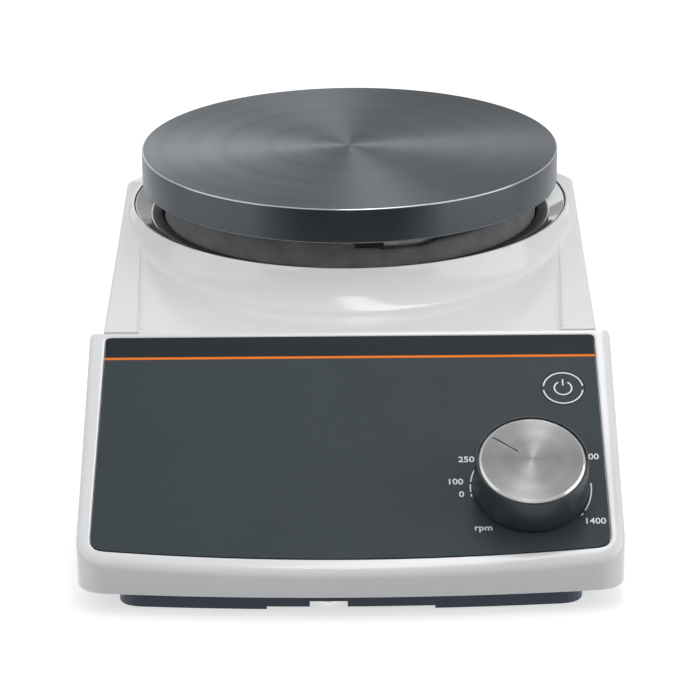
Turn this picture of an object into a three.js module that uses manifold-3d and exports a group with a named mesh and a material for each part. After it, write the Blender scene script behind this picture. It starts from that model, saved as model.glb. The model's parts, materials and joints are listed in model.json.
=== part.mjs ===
// Magnetic stirrer with a round plate, a sloping front panel and one speed knob.
// Millimetres, +Z up, front towards -Y, origin under the middle of the object on the bench.
import * as THREE from "three";
import { mergeVertices } from "three/addons/utils/BufferGeometryUtils.js";
import Module from "manifold-3d";

const wasm = await Module();
wasm.setup();

// ---------- driving dimensions ----------
const gap = 0.3; // clearance between neighbouring pieces
const frontY = -138.5;
const rearY = 138.5;
const skirtZ = 7.1; // lower edge of the two white mouldings
const axisY = 47; // axis of plate and motor

const plate = { radius: 72.5, top: 94, rim: 12, wall: 3.2, web: 5, edge: 0.5 };
const deck = {
  ringZ: 74.7,
  ringRadius: 75.4,
  railFrontZ: 63,
  floorFrontZ: 60.4,
  floorRearZ: 70.9,
  roofRearZ: 63.5, // inside, under the rear of the deck
  stepY: axisY - 18, // where the sunken deck ends beside the plate
};
const housing = {
  half: 79.7,
  wall: 3,
  rearY: 136.7,
  cornerY: axisY + 21,
  taper: THREE.MathUtils.degToRad(56),
};
const bezel = {
  half: 84,
  wall: 2.6,
  face: 3.4,
  topY: -53.3,
  topZ: 61.8,
  bulge: 700, // radius of the bowed front seen from above
  corner: 9,
};
const panel = {
  slope: THREE.MathUtils.degToRad(28.5),
  border: 2.2,
  length: 89.4,
  topHalf: 78.5,
  lowHalf: 79.4,
};
const base = {
  half: 71.5,
  frontY: -132.5,
  bottomZ: 3.2,
  floorZ: 5.6,
  flangeZ: 7.5,
  topZ: 9.6,
  skidZ: 0.5,
  stepZ: 1.4,
};
const chassis = { bottomZ: 57, topZ: 61, radius: 70 };
const knob = { x: 55.85, y: -62.5, baseRadius: 18, topRadius: 17.3, height: 13.8, pointer: 143.8 };
const key = { x: 67.7, y: -22.4, radius: 6.95 };
const inlet = { half: 14.5, bottomZ: 17, topZ: 49 };
const rodBush = { x: -26, y: 128.2, radius: 6.3, bore: 4.6, bottomZ: 46 };
const postRadius = 54; // plate standoffs, from the axis
const magnetOffset = 30;
const feltTop = 83.4;
const screwBore = 2; // clearance for a casing screw's shank

// ---------- solids ----------
const toZ = Math.PI / 2;

// A closed geometry as a manifold solid.
function solid(geometry) {
  const bare = geometry.clone();
  bare.deleteAttribute("normal");
  bare.deleteAttribute("uv");
  const merged = mergeVertices(bare, 1e-4);
  const triVerts = new Uint32Array(merged.index.array);
  const vertProperties = merged.attributes.position.array;
  return new wasm.Manifold(new wasm.Mesh({ numProp: 3, vertProperties, triVerts }));
}

// A manifold solid as a geometry.
function geometryOf(body) {
  const mesh = body.getMesh();
  const geometry = new THREE.BufferGeometry();
  geometry.setAttribute("position", new THREE.BufferAttribute(mesh.vertProperties, 3));
  geometry.setIndex(new THREE.BufferAttribute(mesh.triVerts, 1));
  geometry.computeVertexNormals();
  return geometry;
}

function block(x0, x1, y0, y1, z0, z1) {
  const geometry = new THREE.BoxGeometry(x1 - x0, y1 - y0, z1 - z0);
  geometry.translate((x0 + x1) / 2, (y0 + y1) / 2, (z0 + z1) / 2);
  return geometry;
}

// A round bar along Z.
function rod(radius, z0, z1, x = 0, y = 0, segments = 20) {
  const geometry = new THREE.CylinderGeometry(radius, radius, z1 - z0, segments);
  geometry.rotateX(toZ);
  geometry.translate(x, y, (z0 + z1) / 2);
  return geometry;
}

// A profile of [radius, height] points turned round the Z axis.
function turned(profile, segments = 28, x = 0, y = 0) {
  const points = profile.map(([radius, height]) => new THREE.Vector2(radius, height));
  const onAxis = profile[0][0] === 0 && profile.at(-1)[0] === 0;
  if (THREE.ShapeUtils.isClockWise(points)) points.reverse();
  if (!onAxis) points.push(points[0].clone());
  const geometry = new THREE.LatheGeometry(points, segments);
  geometry.rotateX(toZ);
  geometry.translate(x, y, 0);
  return geometry;
}

// An outline in X and Y raised from z0 to z1.
function prism(shape, z0, z1) {
  const geometry = new THREE.ExtrudeGeometry(shape, { depth: z1 - z0, bevelEnabled: false, curveSegments: 6 });
  geometry.translate(0, 0, z0);
  return geometry;
}

// A profile of [y, z] points carried across the full width.
function sideways(points, half = 90) {
  const shape = new THREE.Shape(points.map(([y, z]) => new THREE.Vector2(y, z)));
  const geometry = new THREE.ExtrudeGeometry(shape, { depth: 2 * half, bevelEnabled: false });
  geometry.translate(0, 0, -half);
  const axes = [new THREE.Vector3(0, 1, 0), new THREE.Vector3(0, 0, 1), new THREE.Vector3(1, 0, 0)];
  geometry.applyMatrix4(new THREE.Matrix4().makeBasis(...axes));
  return geometry;
}

// A closed outline through corners [x, y, radius], each rounded by its radius.
function rounded(corners) {
  const shape = new THREE.Shape();
  corners.forEach(([x, y, radius], i) => {
    const here = new THREE.Vector2(x, y);
    const before = new THREE.Vector2(...corners.at(i - 1));
    const after = new THREE.Vector2(...corners[(i + 1) % corners.length]);
    const toBefore = before.sub(here).normalize();
    const toAfter = after.sub(here).normalize();
    const reach = radius / Math.tan(Math.acos(toBefore.dot(toAfter)) / 2);
    const start = here.clone().addScaledVector(toBefore, reach);
    const end = here.clone().addScaledVector(toAfter, reach);
    if (i === 0) shape.moveTo(start.x, start.y);
    else shape.lineTo(start.x, start.y);
    if (radius > 0) shape.quadraticCurveTo(x, y, end.x, end.y);
  });
  shape.closePath();
  return shape;
}

// Both sides of an outline: its right-hand corners, then the same ones mirrored.
function mirrored(corners) {
  const left = corners.map(([x, y, radius]) => [-x, y, radius]).reverse();
  return [...corners, ...left];
}

const join = (first, ...others) => others.reduce((sum, other) => sum.add(solid(other)), solid(first));
const cut = (body, ...tools) => tools.reduce((rest, tool) => rest.subtract(solid(tool)), body);
const keep = (body, ...tools) => tools.reduce((rest, tool) => rest.intersect(solid(tool)), body);

// ---------- finishes ----------
const finish = (color, roughness, metalness) => ({ color, roughness, metalness });
const finishes = {
  white: finish(0xe6e7ea, 0.25, 0),
  foil: finish(0x3c464c, 0.35, 0),
  anthracite: finish(0x323a46, 0.4, 0),
  gloss: finish(0x2a3038, 0.12, 0),
  coated: finish(0x3a3e41, 0.35, 0.6),
  felt: finish(0x5f5c5b, 0.95, 0),
  steel: finish(0xb9bbbd, 0.3, 1),
  aluminium: finish(0xc4c6c8, 0.4, 1),
  dark: finish(0x24282c, 0.45, 0),
  rubber: finish(0x1b1c1d, 0.85, 0),
  board: finish(0x1f5a3a, 0.5, 0),
  copper: finish(0xb26b3a, 0.4, 0.9),
  magnet: finish(0x6f7276, 0.35, 0.9),
  brass: finish(0xb99a55, 0.35, 1),
  glass: finish(0xd8e0e0, 0.1, 0),
};

// A named mesh of a solid or of a plain geometry.
function piece(name, shape, look, parent = stirrer) {
  const geometry = shape.isBufferGeometry ? shape : geometryOf(shape);
  const mesh = new THREE.Mesh(geometry, new THREE.MeshStandardMaterial(finishes[look]));
  mesh.name = name;
  parent.add(mesh);
  return mesh;
}

const stirrer = new THREE.Group();

// Pieces on the plate and motor axis, with X and Y measured from it.
const axisGroup = new THREE.Group();
axisGroup.position.set(0, axisY, 0);
stirrer.add(axisGroup);

// Pieces on the sloping panel: x across, y up the slope from the panel's upper edge, z out of it.
const panelGroup = new THREE.Group();
panelGroup.position.set(
  0,
  bezel.topY - panel.border * Math.cos(panel.slope),
  bezel.topZ - panel.border * Math.sin(panel.slope),
);
panelGroup.rotation.x = panel.slope;
stirrer.add(panelGroup);
panelGroup.updateMatrix();
const onPanel = (geometry) => geometry.applyMatrix4(panelGroup.matrix);

// ---------- outlines ----------

// Height of the sloping panel plane at a given depth.
const slopeZ = (y) => bezel.topZ + (y - bezel.topY) * Math.tan(panel.slope);

// The housing seen from above: straight sides, then a taper behind the plate.
function housingOutline(inset, firstY = bezel.topY + gap) {
  const half = housing.half - inset;
  const rear = housing.rearY - inset;
  const nx = Math.sin(housing.taper);
  const ny = Math.cos(housing.taper);
  const reach = nx * housing.half + ny * housing.cornerY - inset;
  return rounded(
    mirrored([
      [half, firstY, 0],
      [half, (reach - nx * half) / ny, 4],
      [(reach - ny * rear) / nx, rear, 18],
    ]),
  );
}

// A front edge bowed outwards across its width, and square sides back to rearEdge.
function bowedOutline(half, front, rearEdge, corner) {
  const steps = 12;
  const side = front + (half * half) / (2 * bezel.bulge);
  const shape = new THREE.Shape();
  shape.moveTo(half, rearEdge);
  shape.lineTo(-half, rearEdge);
  shape.lineTo(-half, side + corner);
  shape.quadraticCurveTo(-half, side, -half + corner, front + (half - corner) ** 2 / (2 * bezel.bulge));
  for (let i = 1; i < steps; i++) {
    const x = (half - corner) * ((2 * i) / steps - 1);
    shape.lineTo(x, front + (x * x) / (2 * bezel.bulge));
  }
  shape.lineTo(half - corner, front + (half - corner) ** 2 / (2 * bezel.bulge));
  shape.quadraticCurveTo(half, side, half, side + corner);
  shape.closePath();
  return shape;
}

// The dark foil of the control panel, with its lower edge bowed like the front.
function foilOutline(grow) {
  const steps = 12;
  const bow = 742;
  const low = -panel.length - grow;
  const top = panel.topHalf + grow;
  const bottom = panel.lowHalf + grow;
  const topCorner = 1.6;
  const lowCorner = 4.5;
  const lowY = (x) => low + (x * x) / (2 * bow);
  const shape = new THREE.Shape();
  shape.moveTo(top - topCorner, grow);
  shape.lineTo(-top + topCorner, grow);
  shape.quadraticCurveTo(-top, grow, -top, grow - topCorner);
  shape.lineTo(-bottom, lowY(bottom) + lowCorner);
  shape.quadraticCurveTo(-bottom, lowY(bottom), -bottom + lowCorner, lowY(bottom - lowCorner));
  for (let i = 1; i < steps; i++) {
    const x = (bottom - lowCorner) * ((2 * i) / steps - 1);
    shape.lineTo(x, lowY(x));
  }
  shape.lineTo(bottom - lowCorner, lowY(bottom - lowCorner));
  shape.quadraticCurveTo(bottom, lowY(bottom), bottom, lowY(bottom) + lowCorner);
  shape.lineTo(top, grow - topCorner);
  shape.quadraticCurveTo(top, grow, top - topCorner, grow);
  return shape;
}

const corners = (xs, ys) => xs.flatMap((x) => ys.map((y) => [x, y]));
const housingPosts = [...corners([-64, 64], [-36]), ...corners([-36, 36], [116])];
const chassisLegs = corners([-44, 44], [axisY - 40, axisY + 40]);
const feet = [...corners([-54, 54], [-107]), ...corners([-42, 42], [94])];
const boardPosts = corners([-58, 4], [-106, -48]);
const panelPosts = corners([-26, 72.5], [-13, -70]);

// ---------- casing ----------

// Upper moulding: two rails beside a recessed deck, and a flared boss up to the ring.
function housingShell() {
  const rise = [
    [bezel.topY, skirtZ],
    [rearY, skirtZ],
    [rearY, deck.ringZ],
    [axisY + 20, deck.ringZ],
    [bezel.topY, deck.railFrontZ],
  ];
  const aboveDeck = [
    [bezel.topY - 1, deck.floorFrontZ],
    [deck.stepY, deck.floorRearZ],
    [deck.stepY, deck.ringZ + 5],
    [bezel.topY - 1, deck.ringZ + 5],
  ];
  const scoop = rounded(mirrored([[68.3, bezel.topY - 1, 0], [72.4, deck.stepY, 0]]));
  const flare = new THREE.QuadraticBezierCurve(
    new THREE.Vector2(deck.ringRadius + 1.1, deck.ringZ),
    new THREE.Vector2(80.5, 63.2),
    new THREE.Vector2(91, 61.6),
  );
  const flareEdge = flare.getPoints(6).reverse().map((point) => [point.x, point.y]);
  const bossProfile = [[70, 58], [91, 58], ...flareEdge, [70, deck.ringZ]];
  const underDeck = [
    [bezel.topY - 5, skirtZ - 1],
    [rearY, skirtZ - 1],
    [rearY, deck.ringZ - housing.wall],
    [axisY + 14, deck.ringZ - housing.wall],
    [deck.stepY, deck.roofRearZ],
    [bezel.topY - 5, deck.floorFrontZ - housing.wall],
  ];
  const outline = prism(housingOutline(0), skirtZ, deck.ringZ + 5);
  let body = keep(solid(outline), sideways(rise));
  body = body.subtract(keep(solid(prism(scoop, 50, 90)), sideways(aboveDeck)));
  body = body.add(keep(solid(turned(bossProfile, 64, 0, axisY)), outline));
  const inside = prism(housingOutline(housing.wall, bezel.topY - 5), 5, 75);
  body = body.subtract(keep(solid(inside), sideways(underDeck)));
  for (const [x, y] of housingPosts) {
    const roof = (y > axisY ? deck.ringZ : deck.floorFrontZ) - 1;
    body = body.add(solid(rod(4.2, base.floorZ + 3.7, roof, x, y, 12)));
  }
  body = body.add(solid(rod(9, rodBush.bottomZ - 2, deck.ringZ - 1, rodBush.x, rodBush.y, 16)));
  body = keep(body, prism(housingOutline(0), 0, deck.ringZ + 5));
  for (const [x, y] of housingPosts) body = cut(body, rod(screwBore, 0, 26, x, y, 12));
  return cut(
    body,
    rod(deck.ringRadius + gap, 62.5, 90, 0, axisY, 64),
    rod(chassis.radius + 1.2, 55, 63, 0, axisY, 48),
    rod(rodBush.radius + gap, rodBush.bottomZ - gap, 90, rodBush.x, rodBush.y),
    block(-13.7 - gap, 13.7 + gap, 120, 140, inlet.bottomZ + 0.7, inlet.topZ - 0.7),
  );
}

// Front moulding: wedge under the control panel, a little wider than the housing.
function frontBezel() {
  const wedge = (drop, front, back) => [
    [back, skirtZ - 1],
    [back, slopeZ(back) - drop],
    [front, slopeZ(front) - drop],
    [front, skirtZ - 1],
  ];
  const inner = bezel.half - bezel.wall;
  const drop = bezel.face / Math.cos(panel.slope);
  let body = keep(
    solid(prism(bowedOutline(bezel.half, frontY, bezel.topY, bezel.corner), skirtZ, 80)),
    sideways(wedge(0, frontY - 5, bezel.topY)),
  );
  const hollow = keep(
    solid(prism(bowedOutline(inner, frontY + bezel.wall, bezel.topY - 2.5, bezel.corner - 2), 5, 80)),
    sideways(wedge(drop, frontY - 5, bezel.topY - 2.5)),
  );
  body = body.subtract(hollow);
  for (const [x, y] of panelPosts) body = body.add(solid(onPanel(rod(3.2, -10.1, -3, x, y, 12))));
  const bores = panelPosts.map(([x, y]) => onPanel(rod(1.7, -12, -5, x, y, 12)));
  return cut(
    body,
    block(-75, 75, bezel.topY - 5, bezel.topY + 5, 5, deck.floorFrontZ - housing.wall),
    block(-77, 77, bezel.topY - 5, bezel.topY + 5, 5, base.topZ + gap),
    onPanel(prism(foilOutline(gap), -1.5, 10)),
    onPanel(rod(4.6, -8, 5, knob.x, knob.y)),
    onPanel(rod(7.5, -2.4, 5, key.x, key.y, 32)),
    onPanel(rod(3, -8, 5, key.x, key.y)),
    ...bores,
  );
}

// Dark printed foil on its carrier.
function controlPanel() {
  const foil = solid(prism(foilOutline(0), -1.2, 0));
  return cut(foil, rod(4.6, -5, 5, knob.x, knob.y), rod(key.radius + 0.15, -5, 5, key.x, key.y, 32));
}

// Tray under the casing, with skids below it and a flange inside the white skirt.
function baseShell() {
  const trayRear = rearY - 10;
  const footprint = (inset, z0, z1) => {
    const front = prism(bowedOutline(base.half - inset, base.frontY + inset, trayRear, 7), z0, z1);
    return keep(solid(front), prism(housingOutline(8.3 + inset, -200), z0 - 1, z1 + 1));
  };
  const flangeHalf = housing.half - housing.wall - 0.5;
  const flange = keep(
    solid(prism(bowedOutline(flangeHalf, frontY + 3.2, 140, 7), base.flangeZ, base.topZ)),
    prism(housingOutline(housing.wall + 0.5, -200), base.flangeZ - 1, base.topZ + 1),
  );
  let body = footprint(0, base.bottomZ, base.topZ).add(flange);
  body = body.subtract(footprint(2.5, base.floorZ, base.topZ + 1));
  const skid = (x0, x1, y0, y1, z) => {
    body = body.add(keep(footprint(0, z, base.bottomZ + 1), block(x0, x1, y0, y1, z, base.bottomZ + 1)));
  };
  for (const side of [-1, 1]) {
    const inner = 25.8 * side;
    const outer = 75 * side;
    skid(Math.min(inner, outer), Math.max(inner, outer), -136, -92, base.skidZ);
    skid(Math.min(inner, outer), Math.max(inner, outer), 78, 110, base.skidZ);
  }
  skid(-26, -12.6, -136, -100, base.stepZ);
  skid(-1, 26, -136, -100, base.stepZ);
  skid(-20, 20, 84, 104, base.stepZ);
  for (const [x, y] of boardPosts) body = body.add(solid(rod(3, base.floorZ - 1, 9.3, x, y, 12)));
  for (const [x, y] of housingPosts) body = body.add(solid(rod(5.6, base.floorZ - 1, 9, x, y, 16)));
  for (const [x, y] of feet) body = cut(body, rod(8.4, 0, 2.6, x, y, 18));
  for (const [x, y] of housingPosts) {
    const bore = rod(screwBore, 0, 20, x, y, 12);
    body = cut(body, rod(4.3, 0, 6.6, x, y, 16), bore, rod(4.6, 9, 20, x, y, 16));
  }
  return cut(body, rod(2.2, 0, 20, -7, base.frontY + 6.5, 12));
}

// ---------- plate and what it stands on ----------

function stirPlate() {
  const { radius, top, rim, wall, web, edge } = plate;
  const profile = [
    [0, top - web],
    [radius - wall, top - web],
    [radius - wall, top - rim],
    [radius - edge, top - rim],
    [radius, top - rim + edge],
    [radius, top - edge],
    [radius - edge * 0.3, top - edge * 0.3],
    [radius - edge, top],
    [0, top],
  ];
  let body = solid(turned(profile, 64));
  for (const [x, y] of plateFixings) body = cut(body, rod(2.6, 80, top - 2, x, y, 16));
  return body;
}

// Three fixings at equal angles round the axis.
const plateFixings = [30, 150, 270].map((degrees) => {
  const angle = THREE.MathUtils.degToRad(degrees);
  return [postRadius * Math.cos(angle), postRadius * Math.sin(angle)];
});

// Gutter ring that closes the opening: a bevel falling inwards to a rounded collar.
function dripRing() {
  return turned(
    [
      [65.5, chassis.topZ + 0.4],
      [68.6, chassis.topZ + 0.4],
      [68.6, 68],
      [deck.ringRadius, 72.7],
      [deck.ringRadius, deck.ringZ],
      [69.4, 70.6],
      [68.7, 71.2],
      [67.2, 71.6],
      [65.9, 71.2],
      [65.5, 70.4],
    ],
    56,
  );
}

// How far the felt's upper edge drops, as [degrees from the front towards +X, drop].
const feltDip = [[-180, 0], [2, 0], [9, 6.7], [22, 6.7], [28, 5.2], [36, 5.2], [51, 3.8], [70, 0], [180, 0]];

function dropAt(degrees) {
  const next = feltDip.findIndex(([angle], i) => i > 0 && angle >= degrees);
  const [a0, d0] = feltDip[next - 1];
  const [a1, d1] = feltDip[next];
  return THREE.MathUtils.mapLinear(degrees, a0, a1, d0, d1);
}

// Insulating wall of felt with an uneven upper edge that dips at the front right.
function insulationRing() {
  const low = chassis.topZ + 0.4;
  const geometry = turned([[62.6, low], [65.1, low], [65.1, feltTop], [62.6, feltTop]], 72);
  const position = geometry.attributes.position;
  for (let i = 0; i < position.count; i++) {
    if (position.getZ(i) < feltTop - 1) continue;
    const angle = Math.atan2(position.getX(i), -position.getY(i));
    const wave = 0.5 * Math.sin(3 * angle) + 0.3 * Math.sin(7 * angle + 1);
    position.setZ(i, feltTop + wave - dropAt(THREE.MathUtils.radToDeg(angle)));
  }
  return geometry;
}

// Inverted metal cup between the magnets and the plate.
function shieldPan() {
  const foot = chassis.topZ + 0.4;
  const roof = 87.2;
  const inner = 61.2;
  const outer = 62.2;
  const profile = [[0, roof - 1], [inner, roof - 1], [inner, foot], [outer, foot], [outer, roof], [0, roof]];
  let body = solid(turned(profile, 48));
  for (const [x, y] of plateFixings) body = cut(body, rod(5.4, 80, 90, x, y));
  return body;
}

function chassisFrame() {
  let body = join(rod(chassis.radius, chassis.bottomZ, chassis.topZ, 0, 0, 48), rod(11, 52, chassis.topZ));
  for (const [x, y] of chassisLegs) {
    const v = y - axisY;
    body = body.add(solid(block(x - 5, x + 5, v - 5, v + 5, base.floorZ + gap, chassis.topZ - 1)));
  }
  for (const [x, y] of plateFixings) body = cut(body, rod(2.6, 50, 70, x, y, 16));
  return cut(body, rod(8.3, 55, 70), rod(5.6, 50, 70));
}

// Pan-head screw along Z: head at z0, shank up to z1.
function screw(x, y, z0, z1, headRadius, shankRadius, headHeight = 2.2) {
  return turned(
    [
      [0, z0],
      [headRadius * 0.7, z0],
      [headRadius, z0 + headHeight * 0.4],
      [headRadius, z0 + headHeight],
      [shankRadius, z0 + headHeight],
      [shankRadius, z1],
      [0, z1],
    ],
    12,
    x,
    y,
  );
}

// ---------- drive ----------

const ring = (outer, inner, z0, z1, segments = 24) =>
  turned([[inner, z0], [outer, z0], [outer, z1], [inner, z1]], segments);

function motorCan() {
  return turned([
    [4.9, 30],
    [26, 30],
    [26, 54.6],
    [31, 54.6],
    [31, 56.7],
    [24.5, 56.7],
    [24.5, 32.2],
    [10, 32.2],
    [10, 36.6],
    [8.3, 36.6],
    [8.3, 31.5],
    [4.9, 31.5],
  ]);
}

// Laminated ring with nine teeth pointing at the rotor.
function stator() {
  const teeth = 9;
  const shape = new THREE.Shape();
  shape.absarc(0, 0, 24.1, 0, 2 * Math.PI, false);
  // One tooth as [share of a pitch, radius]: slot floor, neck, then the wider tip.
  const tooth = [[-0.5, 21], [-0.24, 21], [-0.24, 18], [-0.4, 16.9], [0.4, 16.9], [0.24, 18], [0.24, 21]];
  const outline = [];
  for (let i = 0; i < teeth; i++) {
    const pitch = (2 * Math.PI) / teeth;
    for (const [share, radius] of tooth) {
      const angle = (i + share) * pitch;
      outline.push(new THREE.Vector2(radius * Math.cos(angle), radius * Math.sin(angle)));
    }
  }
  const inside = new THREE.Path(outline);
  inside.closePath();
  shape.holes.push(inside);
  return prism(shape, 37.5, 50);
}

// Steel bar that carries the two stirring magnets, with a hub on the shaft.
function magnetCarrier() {
  const bar = rounded(mirrored([[43, -14, 8], [43, 14, 8]]));
  const body = join(prism(bar, 68, 71.5), rod(9, 63, 70));
  return cut(body, rod(4.3, 60, 69.5), rod(2.3, 60, 80, 0, 0, 16));
}

// ---------- controls ----------

function knobBody() {
  const { baseRadius, topRadius, height } = knob;
  return turned(
    [
      [3.2, 4.5],
      [6.5, 4.5],
      [6.5, 8.5],
      [14.2, 8.5],
      [15, 0.9],
      [baseRadius - 0.4, 0.9],
      [baseRadius, 1.4],
      [topRadius, height - 0.8],
      [topRadius - 0.4, height - 0.3],
      [topRadius - 0.5, height - 0.3],
      [topRadius - 0.5, height - 1.6],
      [3.2, height - 1.6],
    ],
    36,
    knob.x,
    knob.y,
  );
}

// Turned metal disc let into the top of the knob, with an engraved pointer.
function knobCap() {
  const top = knob.height;
  const radius = knob.topRadius - 0.8;
  const profile = [[0, top - 1.3], [radius, top - 1.3], [radius, top - 0.5], [radius - 0.9, top], [0, top]];
  const pointer = block(5.3, 14.6, -0.35, 0.35, top - 0.3, top + 1);
  pointer.rotateZ(THREE.MathUtils.degToRad(knob.pointer));
  pointer.translate(knob.x, knob.y, 0);
  return cut(solid(turned(profile, 36, knob.x, knob.y)), pointer);
}

function encoderBody() {
  const { x, y } = knob;
  const body = join(block(x - 6.5, x + 6.5, y - 6.5, y + 6.5, -10.1, -3.7), rod(4.3, -5, 3.2, x, y));
  return cut(body, rod(3.2, -5, 5, x, y));
}

function encoderNut() {
  const nut = solid(rod(6, 0.3, 2.3, knob.x, knob.y, 6));
  return cut(nut, rod(4.6, -1, 4, knob.x, knob.y));
}

// Round key level with the foil, on a short stem.
function powerKey() {
  const { x, y, radius } = key;
  return turned([[0, -4.6], [2.6, -4.6], [2.6, -1.2], [radius, -1.2], [radius, 0], [0, 0]], 32, x, y);
}

// Small switch on the control board, with its plunger under the key.
function keySwitch() {
  const { x, y } = key;
  return join(block(x - 3, x + 3, y - 3, y + 3, -10.1, -6.4), rod(1.6, -7, -5.4, x, y, 16));
}

function controlBoard() {
  let body = solid(block(-31, 77, -74, -9, -12, -10.4));
  for (const [x, y] of panelPosts) body = cut(body, rod(1.7, -15, -5, x, y, 12));
  return body;
}

// ---------- mains side ----------

// Appliance inlet: a socket for the mains lead below a slot for the fuse drawer.
function mainsInlet() {
  const { half, bottomZ, topZ } = inlet;
  const body = join(
    block(-half, half, housing.rearY + gap, rearY, bottomZ, topZ),
    block(-13.7, 13.7, 111, housing.rearY + 1, bottomZ + 1, topZ - 1),
  );
  return cut(
    body,
    prism(rounded([[-12, 120, 0], [12, 120, 0], [12, 140, 0], [-12, 140, 0]]), 20, 36.2),
    block(-11, 11, 113, 140, 38.4, 47.4),
  );
}

// One blade standing in the socket.
const blade = (x, z) => block(x - 1, x + 1, 120 + gap, 135, z - 2, z + 2);

// Drawer with two troughs, each open upwards, for the fuses.
function fuseDrawer() {
  const body = join(block(-10.6, 10.6, 113.5, 137, 38.8, 47), block(-9, 9, 136, 138.3, 40, 46));
  return cut(body, block(-8.2, -1.8, 114.5, 135, 40, 50), block(1.8, 8.2, 114.5, 135, 40, 50));
}

function fuse(x) {
  return new THREE.CylinderGeometry(2.6, 2.6, 20, 20).translate(x, 124.7, 43);
}

function powerBoard() {
  let body = solid(block(-63, 9, -111, -43, 9.6, 11.2));
  for (const [x, y] of boardPosts) body = cut(body, rod(1.3, 5, 15, x, y, 12));
  return body;
}

// Routes of the three leads inside the casing.
const controlRoute = [[6, -68, 13.2], [16, -63, 14], [24, -53, 22], [24, -51, 35], [22, -60, 42.2]];
const motorRoute = [[0, -47, 13.2], [0, -37, 12.5], [1, -24, 9], [2, 14, 10], [2, 36, 20], [2, 42.5, 27.6]];
const mainsRoute = [
  [-52, -47, 13.8],
  [-53, -38, 12.5],
  [-54, -22, 9.5],
  [-55, 30, 9],
  [-52, 60, 9],
  [-34, 76, 9],
  [-26, 94, 12],
  [-21, 103, 20],
  [-6, 108, 30],
];

// A round lead along a smooth route.
function lead(radius, route) {
  const curve = new THREE.CatmullRomCurve3(route.map((point) => new THREE.Vector3(...point)));
  const circle = new THREE.Shape().absarc(0, 0, radius, 0, 2 * Math.PI, false);
  return new THREE.ExtrudeGeometry(circle, { steps: 18, extrudePath: curve, curveSegments: 3 });
}

// ---------- assembly ----------

piece("housing_shell", housingShell(), "white");
piece("front_bezel", frontBezel(), "white");
piece("base_shell", baseShell(), "anthracite");
piece("drip_ring", dripRing(), "gloss", axisGroup);
piece("insulation_ring", insulationRing(), "felt", axisGroup);
piece("shield_pan", shieldPan(), "aluminium", axisGroup);
piece("stir_plate", stirPlate(), "coated", axisGroup);
piece("chassis", chassisFrame(), "aluminium", axisGroup);
plateFixings.forEach(([x, y], i) => {
  const post = solid(rod(5, chassis.topZ + gap, plate.top - plate.web - gap, x, y));
  piece("plate_standoff_" + (i + 1), cut(post, rod(2.6, 50, 95, x, y, 16)), "steel", axisGroup);
  piece("plate_screw_" + (i + 1), screw(x, y, 54.2, 90.5, 4.2, 2.3, 2.5), "steel", axisGroup);
});
piece("bonding_tab", join(
  block(-5, 0.6, -67, -66.2, 79.7, 88.7),
  block(-3.3, -2.3, -67.6, -66.5, 80.2, 81.2),
  block(-1.3, -0.3, -67.6, -66.5, 80.2, 81.2),
), "steel", axisGroup);
piece("rim_block", block(1.8, 11.4, -67.9, -65.9, 78.9, 88.7), "dark", axisGroup);

piece("motor_can", motorCan(), "steel", axisGroup);
piece("stator", stator(), "copper", axisGroup);
piece("bearing_lower", ring(8, 4.3, 31.8, 36.3), "steel", axisGroup);
piece("bearing_upper", ring(8, 4.3, 55.3, 60.3), "steel", axisGroup);
const shaft = [[0, 30.6], [4, 30.6], [4, 69.2], [2, 69.2], [2, 71.2], [0, 71.2]];
piece("motor_shaft", turned(shaft, 24), "steel", axisGroup);
piece("motor_rotor", ring(15.6, 4.3, 37.5, 50), "magnet", axisGroup);
piece("magnet_carrier", magnetCarrier(), "steel", axisGroup);
const screwHead = [[0, 71.8], [4.4, 71.8], [4.4, 74.4], [3, 75.2], [0, 75.2]];
piece("carrier_screw", turned(screwHead, 24), "steel", axisGroup);
piece("magnet_left", rod(11, 71.8, 84.6, -magnetOffset), "magnet", axisGroup);
piece("magnet_right", rod(11, 71.8, 84.6, magnetOffset), "magnet", axisGroup);

piece("control_panel", controlPanel(), "foil", panelGroup);
piece("knob_body", knobBody(), "anthracite", panelGroup);
piece("knob_cap", knobCap(), "steel", panelGroup);
piece("encoder_shaft", rod(2.9, -3.4, knob.height - 2, knob.x, knob.y), "steel", panelGroup);
piece("encoder_body", encoderBody(), "dark", panelGroup);
piece("encoder_nut", encoderNut(), "steel", panelGroup);
piece("power_key", powerKey(), "foil", panelGroup);
piece("key_switch", keySwitch(), "dark", panelGroup);
piece("control_board", controlBoard(), "board", panelGroup);

piece("power_board", powerBoard(), "board");
piece("transformer", block(-54, -22, -78, -50, 11.5, 32), "dark");
piece("capacitor", rod(9, 11.5, 36, -6, -62), "dark");
piece("mains_inlet", mainsInlet(), "dark");
piece("pin_line", blade(-7, 27.5), "brass");
piece("pin_earth", blade(0, 30.5), "brass");
piece("pin_neutral", blade(7, 27.5), "brass");
piece("fuse_drawer", fuseDrawer(), "dark");
piece("fuse_1", fuse(-5), "glass");
piece("fuse_2", fuse(5), "glass");
piece("rod_bush", turned([
  [0, rodBush.bottomZ],
  [rodBush.radius, rodBush.bottomZ],
  [rodBush.radius, deck.ringZ - gap],
  [rodBush.bore, deck.ringZ - gap],
  [rodBush.bore, rodBush.bottomZ + 3],
  [0, rodBush.bottomZ + 3],
], 24, rodBush.x, rodBush.y), "steel");

feet.forEach(([x, y], i) => {
  piece("rubber_foot_" + (i + 1), turned([[0, 0], [7.2, 0], [8, 0.6], [8, 2.3], [0, 2.3]], 18, x, y), "rubber");
});
housingPosts.forEach(([x, y], i) => {
  piece("housing_screw_" + (i + 1), screw(x, y, 4, 24, 4, 1.7), "steel");
});
piece("service_screw", screw(-7, base.frontY + 6.5, 0.8, 9, 3.4, 1.9), "steel");

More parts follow.
